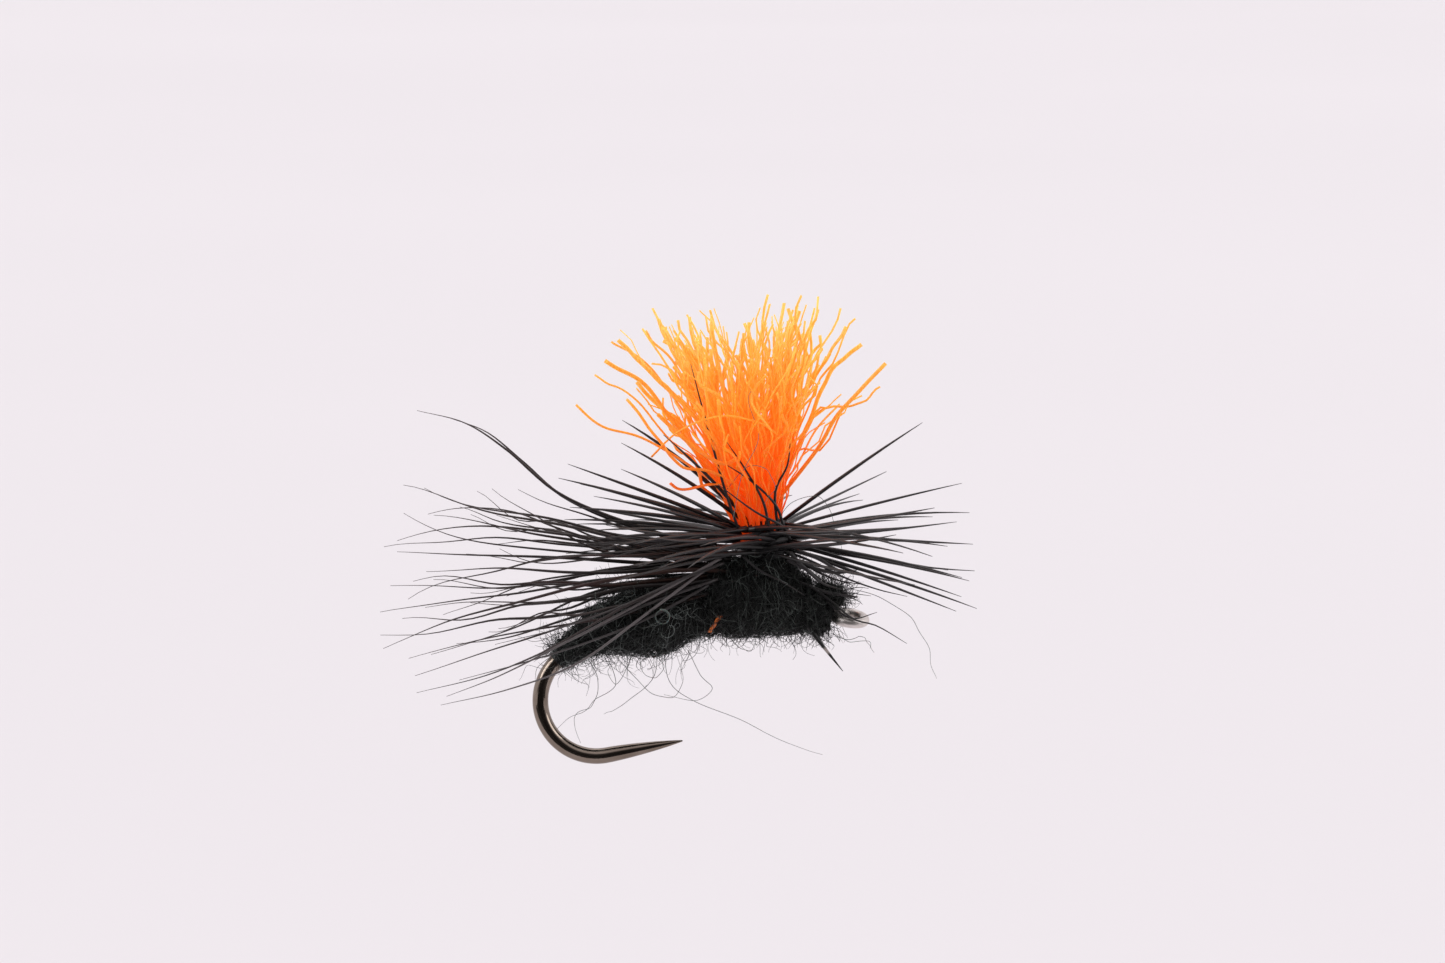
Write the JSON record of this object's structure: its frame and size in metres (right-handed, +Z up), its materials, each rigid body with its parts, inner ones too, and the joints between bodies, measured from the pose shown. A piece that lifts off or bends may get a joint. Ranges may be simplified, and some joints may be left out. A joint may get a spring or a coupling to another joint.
{
  "type": "dry fly",
  "caption": "Parachute dry fly: orange yarn post, black hackle and swept hair, black dubbed body, curved barbless hook.",
  "frame": {"origin": "centre of the hole in the hook's eye", "axes": "+X along the hook from the bend towards the eye, +Z up the orange post, -Y the side where the trimmed quill shows"},
  "size_m": [0.0204, 0.0144, 0.0156],
  "materials": {
    "hook_wire": "satin",
    "black_thread": "matt",
    "orange_yarn": "satin",
    "black_hackle": "satin",
    "dark_hair": "satin",
    "black_dubbing": "matt"
  },
  "bodies": {
    "root": {"hook_shank": "hook_wire", "hook_bend": "hook_wire", "thread_base": "black_thread", "head_thread": "black_thread", "root_binding": "black_thread", "post_binding": "black_thread", "wing_binding": "black_thread", "post_root": "orange_yarn", "post_core": "orange_yarn", "post_filaments_centre": "orange_yarn", "post_filaments_front": "orange_yarn", "post_filaments_far": "orange_yarn", "post_filaments_rear": "orange_yarn", "post_filaments_near": "orange_yarn", "yarn_tag": "orange_yarn", "hackle_stem": "black_hackle", "hackle_butt": "black_hackle", "quill_spike": "black_hackle", "hackle_barbs_front": "black_hackle", "hackle_barbs_far": "black_hackle", "hackle_barbs_rear": "black_hackle", "hackle_barbs_near": "black_hackle", "hackle_barbs_raised": "black_hackle", "wing_hair_rising": "dark_hair", "wing_hair_upper": "dark_hair", "wing_hair_middle": "dark_hair", "wing_hair_lower": "dark_hair", "wing_hair_near": "dark_hair", "wing_butts": "dark_hair", "head_dubbing": "black_dubbing", "thorax_dubbing": "black_dubbing", "abdomen_dubbing": "black_dubbing"}
  },
  "joints": []
}
